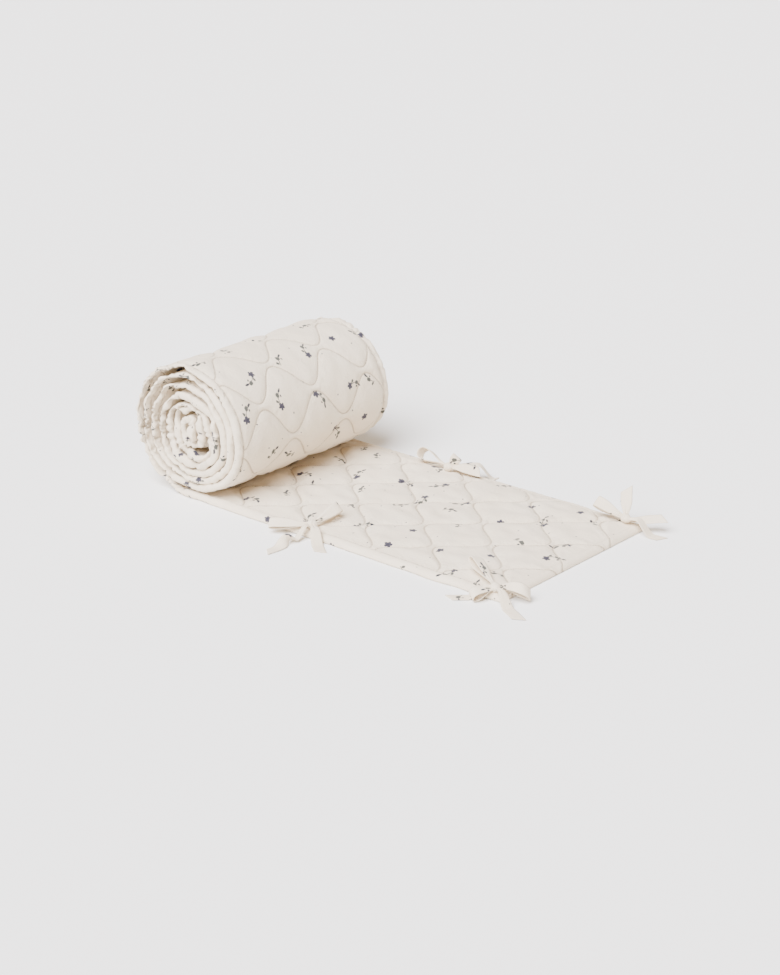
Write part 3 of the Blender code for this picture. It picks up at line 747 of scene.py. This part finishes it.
def stitch_tree():
    """Geometry Nodes: a short plump stitch laid at each step along the lines it is given."""
    tree = bpy.data.node_groups.new("stitching", "GeometryNodeTree")
    tree.interface.new_socket("Geometry", in_out="INPUT", socket_type="NodeSocketGeometry")
    for name in ("Spacing", "Half Length", "Half Width"):
        tree.interface.new_socket(name, in_out="INPUT", socket_type="NodeSocketFloat")
    tree.interface.new_socket("Thread", in_out="INPUT", socket_type="NodeSocketMaterial")
    tree.interface.new_socket("Geometry", in_out="OUTPUT", socket_type="NodeSocketGeometry")
    given = tree.nodes.new("NodeGroupInput").outputs
    line = add_node(tree, "GeometryNodeMeshToCurve", given["Geometry"])
    steps = add_node(tree, "GeometryNodeCurveToPoints", line, given["Spacing"], mode="LENGTH")
    tangent = [s for s in steps.node.outputs if s.name == "Tangent"][0]
    turn = add_node(tree, "FunctionNodeAlignRotationToVector", None, None, tangent, axis="X")
    size = add_node(tree, "ShaderNodeCombineXYZ", given["Half Length"], given["Half Width"], given["Half Width"])
    ball = add_node(tree, "GeometryNodeMeshIcoSphere", 1.0, 1)
    stitch = add_node(tree, "GeometryNodeTransform", ball, None, None, size)
    laid = add_node(tree, "GeometryNodeInstanceOnPoints", steps, None, stitch, None, None, turn)
    real = add_node(tree, "GeometryNodeRealizeInstances", laid)
    real = add_node(tree, "GeometryNodeSetShadeSmooth", real)
    real = add_node(tree, "GeometryNodeSetMaterial", real, None, given["Thread"])
    tree.links.new(real, tree.nodes.new("NodeGroupOutput").inputs["Geometry"])
    return tree


# Spun polyester thread: matt, a little shine on each stitch.
thread = bpy.data.materials.new("spun_polyester_thread")
thread.use_nodes = True
twist = add_node(thread.node_tree, "ShaderNodeTexCoord", output=3)
twist = add_node(thread.node_tree, "ShaderNodeTexNoise", twist, 900.0, 2.0)
shade = add_node(thread.node_tree, "ShaderNodeMix", twist, linear(THREAD_COLOUR), linear(COTTON_COLOUR),
                 data_type="RGBA")
thread.node_tree.links.new(shade, thread.node_tree.nodes["Principled BSDF"].inputs["Base Color"])
thread.node_tree.nodes["Principled BSDF"].inputs["Roughness"].default_value = 0.65

lines = bpy.data.objects.new("stitch_lines", stitch_lines())
bpy.context.scene.collection.objects.link(lines)
sewing = lines.modifiers.new("sewing", "NODES")
sewing.node_group = stitch_tree()
sizes = {"Spacing": STITCH_SPACING, "Half Length": STITCH_HALF_LENGTH, "Half Width": STITCH_HALF_WIDTH,
         "Thread": thread}
for socket in sewing.node_group.interface.items_tree:
    if socket.name in sizes:
        sewing[socket.identifier] = sizes[socket.name]
evaluated = lines.evaluated_get(bpy.context.evaluated_depsgraph_get())
stitches = bpy.data.objects.new("quilting_stitches", bpy.data.meshes.new_from_object(evaluated))
stitches.data.name = "quilting_stitches"
bpy.data.objects.remove(lines)
bpy.context.scene.collection.objects.link(stitches)
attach(stitches, "root")


# Bows. Each tie is a strip of the same cotton folded and sewn into a flat ribbon, caught at its middle
# to the hem and tied in a bow. The ribbon is gathered in pleats where the knot grips it, its loops are
# soft and hollow, and its loose ends fall over the band's edge. The routes are the CAD ties' routes.
TIE_WIDTH = 0.015
TIE_THICKNESS = 0.0012
TIE_PINCH = 0.36
LOOP_PINCH_ENDS = 0.8
TAIL_PINCH_ENDS = 0.6
TIP_CUT = 0.0045
GAP = 0.0003
EDGE_CLEARANCE = 0.002
EDGE_TURN = 0.004
DROP_REACH = 0.022
TWIST_START = 0.30
TWIST_REACH = 0.50
NEAR_ENOUGH = 1e-6
RIBBON_STEP = 0.0018
RIBBON_COLUMNS = 15
PLEATS = 2.5
PLEAT_HEIGHT = 0.0012
KNOT_HALF = (0.0072, 0.0062, 0.0056)
KNOT_FOLDS = 5.5
KNOT_RINGS = 36
KNOT_SEGMENTS = 56
KNOT_CLOTH = 0.43
LOOP, TAIL = "loop", "tail"
BOWS = {  # each: knot x, y, z, then its arms, angles in degrees and the rest in metres
    # a loop's numbers are heading, tilt, reach, spread, roll, sag
    # a tail's numbers are heading, reach, rise, tip height, roll, twist, bend
    "tie_near_middle": ((0.209, -0.139, 0.0152), (
        (LOOP, 209, -3, 0.056, 0.0030, -34, 0.0), (LOOP, 82, 15, 0.046, 0.0060, 50, 0.0),
        (TAIL, -101, 0.077, 0.003, 0.0, 0, 180, 0.009), (TAIL, -38, 0.057, 0.003, 0.0, 0, 0, 0.0))),
    "tie_near_corner": ((0.504, -0.142, 0.0143), (
        (LOOP, 152, 10, 0.066, 0.0045, 15, 0.0), (LOOP, 24, 14, 0.0425, 0.0080, 45, 0.014),
        (LOOP, 238, -8, 0.031, 0.0055, -20, 0.003),
        (TAIL, 220, 0.0555, 0.003, 0.0, 0, 0, 0.0), (TAIL, -30, 0.0665, 0.003, 0.0, 0, 0, 0.002))),
    "tie_far_middle": ((0.216, 0.125, 0.0180), (
        (LOOP, 168, 3, 0.060, 0.0080, 35, 0.0), (LOOP, 60, 45, 0.018, 0.0060, 61, 0.0),
        (TAIL, 10, 0.046, 0.004, 0.017, 35, 0, 0.003), (TAIL, 38, 0.064, 0.004, 0.0, 0, 0, 0.0))),
    "tie_far_corner": ((0.501, 0.130, 0.0167), (
        (LOOP, 186, 18, 0.046, 0.0050, -48, 0.0), (TAIL, 125, 0.026, 0.0, 0.046, 0, -10, 0.0),
        (TAIL, 33, 0.049, -0.003, 0.018, 25, 0, 0.0), (TAIL, 6, 0.0525, 0.003, 0.0, 0, 0, 0.0))),
}


def pinch(share):
    return float(between(TIE_PINCH, 1.0, smooth(share)))


def loop_route(knot, heading, tilt, reach, spread, roll, sag):
    """Centres and half-width directions along a loop that leaves the knot and comes back to it."""
    heading, tilt = math.radians(heading), math.radians(tilt)
    out = Vector((math.cos(heading) * math.cos(tilt), math.sin(heading) * math.cos(tilt), math.sin(tilt)))
    across = Matrix.Rotation(math.radians(roll), 3, out) @ Vector((-math.sin(heading), math.cos(heading), 0.0))
    up = out.cross(across)
    steps = max(8, round(2 * reach / RIBBON_STEP))
    route = []
    for i in range(steps + 1):
        share = i / steps
        out_share = math.sin(math.pi * share)
        centre = knot + out * reach * out_share + up * spread * 1.3 * out_share * math.sin(math.tau * share)
        centre.z -= sag * out_share * out_share
        route.append((centre, across * pinch(out_share / LOOP_PINCH_ENDS), 1.0 - smooth(out_share / 0.6), 0.0))
    return route


def reach_to_edge(knot, out):
    """How far from the knot, along a heading, a ribbon passes the band's side or free end."""
    outwards = out.y * math.copysign(1.0, knot.y)
    side = (BAND_WIDTH / 2 + EDGE_CLEARANCE - abs(knot.y)) / max(NEAR_ENOUGH, outwards)
    end = (FLAT_REACH + EDGE_CLEARANCE - knot.x) / max(NEAR_ENOUGH, out.x)
    return min(side if side > 0.0 else math.inf, end if end > 0.0 else math.inf)


def tail_route(knot, heading, reach, rise, tip_height, roll, twist, bend):
    """Centres and half-width directions along a loose end, which drops past the band's edge to lie flat."""
    heading = math.radians(heading)
    out = Vector((math.cos(heading), math.sin(heading), 0.0))
    across = Vector((-out.y, out.x, 0.0))
    edge = reach_to_edge(knot, out)
    tip = tip_height + TIE_THICKNESS / 2 + GAP
    steps = round(reach / RIBBON_STEP)
    line = []
    for i in range(steps + 1):
        share = i / steps
        centre = knot + out * reach * share + across * bend * math.sin(math.pi * share / 2) ** 2
        fall = share if tip_height > 0.0 else float(smooth((reach * share - edge + EDGE_TURN) / DROP_REACH))
        centre.z = between(knot.z, tip, fall) + rise * math.sin(math.pi * share) * (1.0 - fall)
        line.append((centre, share))
    route = []
    for i, (centre, share) in enumerate(line):
        along = (line[min(i + 1, steps)][0] - line[max(i - 1, 0)][0]).normalized()
        turn = math.radians(roll + twist * float(smooth((share - TWIST_START) / TWIST_REACH)))
        width = Matrix.Rotation(turn, 3, along) @ across * pinch(share / TAIL_PINCH_ENDS)
        lowest = abs(width.z) * TIE_WIDTH / 2 + TIE_THICKNESS / 2 + GAP
        centre = Vector((centre.x, centre.y, max(centre.z, lowest)))
        cut = TIP_CUT * (1.0 if round(heading * 10) % 2 else -1.0) * float(smooth((share - 0.75) / 0.25))
        route.append((centre, width, 1.0 - smooth(share / 0.45), cut))
    return route


def lay_ribbon(route, closed_ends, start, points, polygons, corners):
    """A ribbon along a route: a closed flat tube whose cloth folds into pleats near the knot."""
    across = np.linspace(-1.0, 1.0, RIBBON_COLUMNS)
    ring_v = np.concatenate([across, across[-2:0:-1]])
    top = np.concatenate([np.ones(RIBBON_COLUMNS), -np.ones(RIBBON_COLUMNS - 2)])
    edge = np.sqrt(np.clip(1.0 - np.abs(ring_v) ** 8, 0.0, 1.0))
    first, along_length = len(points), 0.0
    for i, (centre, width, gathered, cut) in enumerate(route):
        ahead = route[min(i + 1, len(route) - 1)][0] - route[max(i - 1, 0)][0]
        slope = ahead.normalized() * cut
        facing = ahead.cross(width).normalized() * -1.0
        if i:
            along_length += (centre - route[i - 1][0]).length
        fold = PLEAT_HEIGHT * float(gathered) * np.cos(PLEATS * math.tau * ring_v / 2)
        rise = fold + top * edge * TIE_THICKNESS / 2
        for v, lift in zip(ring_v, rise):
            points.append(centre + width * (v * TIE_WIDTH / 2) + facing * float(lift) + slope * v)
    ring = len(ring_v)
    cloth_v = np.where(top > 0, ring_v, 2.0 - ring_v) * TIE_WIDTH / 2
    length = 0.0
    for i in range(len(route) - 1):
        step = (route[i + 1][0] - route[i][0]).length
        for k in range(ring):
            n = (k + 1) % ring
            a, b = first + i * ring, first + (i + 1) * ring
            polygons.append((a + k, a + n, b + n, b + k))
            v_next = cloth_v[n] if n else 3.0 * TIE_WIDTH / 2
            corners.extend((start + length, cloth_v[k], start + length, v_next,
                            start + length + step, v_next, start + length + step, cloth_v[k]))
        length += step
    for i, turned in ((0, True), (len(route) - 1, False)):
        a = first + i * ring
        end = [a + k for k in range(ring)]
        polygons.append(end[::-1] if turned else end)
        flat = [(start + length * (i > 0), cloth_v[k]) for k in range(ring)]
        for u, v in (flat[::-1] if turned else flat):
            corners.extend((u, v))


def lay_knot(knot, heading, start, points, polygons, corners):
    """The knot: a closed ball of wrapped cloth with soft folds, laid over the ribbons' middles."""
    first, placed = len(points), []
    for ring in range(KNOT_RINGS + 1):
        for segment in range(1 if ring in (0, KNOT_RINGS) else KNOT_SEGMENTS):
            down, round_z = math.pi * ring / KNOT_RINGS, math.tau * segment / KNOT_SEGMENTS
            side = Vector((math.sin(down) * math.cos(round_z), math.sin(down) * math.sin(round_z), math.cos(down)))
            round_it = math.atan2(side.z, side.y)
            folds = abs(math.sin(KNOT_FOLDS * side.x + 0.5 * math.sin(round_it + start) + 0.7)) ** 0.7
            lapped = 0.09 * math.tanh(6.0 * (side.x + 0.35 * math.sin(round_it + 2.0 * start)))
            wrap = 0.92 + (0.15 * folds + lapped) * (1.0 - side.x * side.x)
            place = Vector((side.x * KNOT_HALF[0], side.y * KNOT_HALF[1] * wrap, side.z * KNOT_HALF[2] * wrap))
            placed.append(Matrix.Rotation(heading, 3, "Z") @ place)
    points.extend(place + knot for place in placed)
    for ring in range(KNOT_RINGS):
        for segment in range(KNOT_SEGMENTS):
            face = []
            for right, below in ((1, 1), (1, 0), (0, 0), (0, 1)):
                at = 1 + (ring + below - 1) * KNOT_SEGMENTS + (segment + right) % KNOT_SEGMENTS
                at = min(max(at, 0) if ring + below else 0, len(placed) - 1)
                if at not in face:
                    face.append(at)
            polygons.append([first + at for at in face])
            for at in face:
                corners.extend((placed[at].x + start + KNOT_CLOTH, placed[at].y + placed[at].z))


def build_bow(name, knot, arms, start):
    points, polygons, corners = [], [], []
    for number, (kind, *numbers) in enumerate(arms):
        route = (loop_route if kind == LOOP else tail_route)(knot, *numbers)
        lay_ribbon(route, kind == TAIL, start + 0.14 * number, points, polygons, corners)
    lay_knot(knot, math.radians(arms[0][1]), start, points, polygons, corners)
    mesh = bpy.data.meshes.new(name)
    mesh.from_pydata(points, [], polygons)
    mesh.uv_layers.new(name="cloth").data.foreach_set("uv", np.array(corners, np.float32))
    mesh.shade_smooth()
    return mesh


ribbon_cotton = printed_cotton("folded_printed_cotton_ribbon", quilted=False)
for number, (name, (knot, arms)) in enumerate(BOWS.items()):
    bow = bpy.data.objects.new(name.replace("tie", "bow"), build_bow(name, Vector(knot), arms, 0.9 * number))
    bpy.context.scene.collection.objects.link(bow)
    bow.data.materials.append(ribbon_cotton)
    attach(bow, "root")
    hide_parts(name)
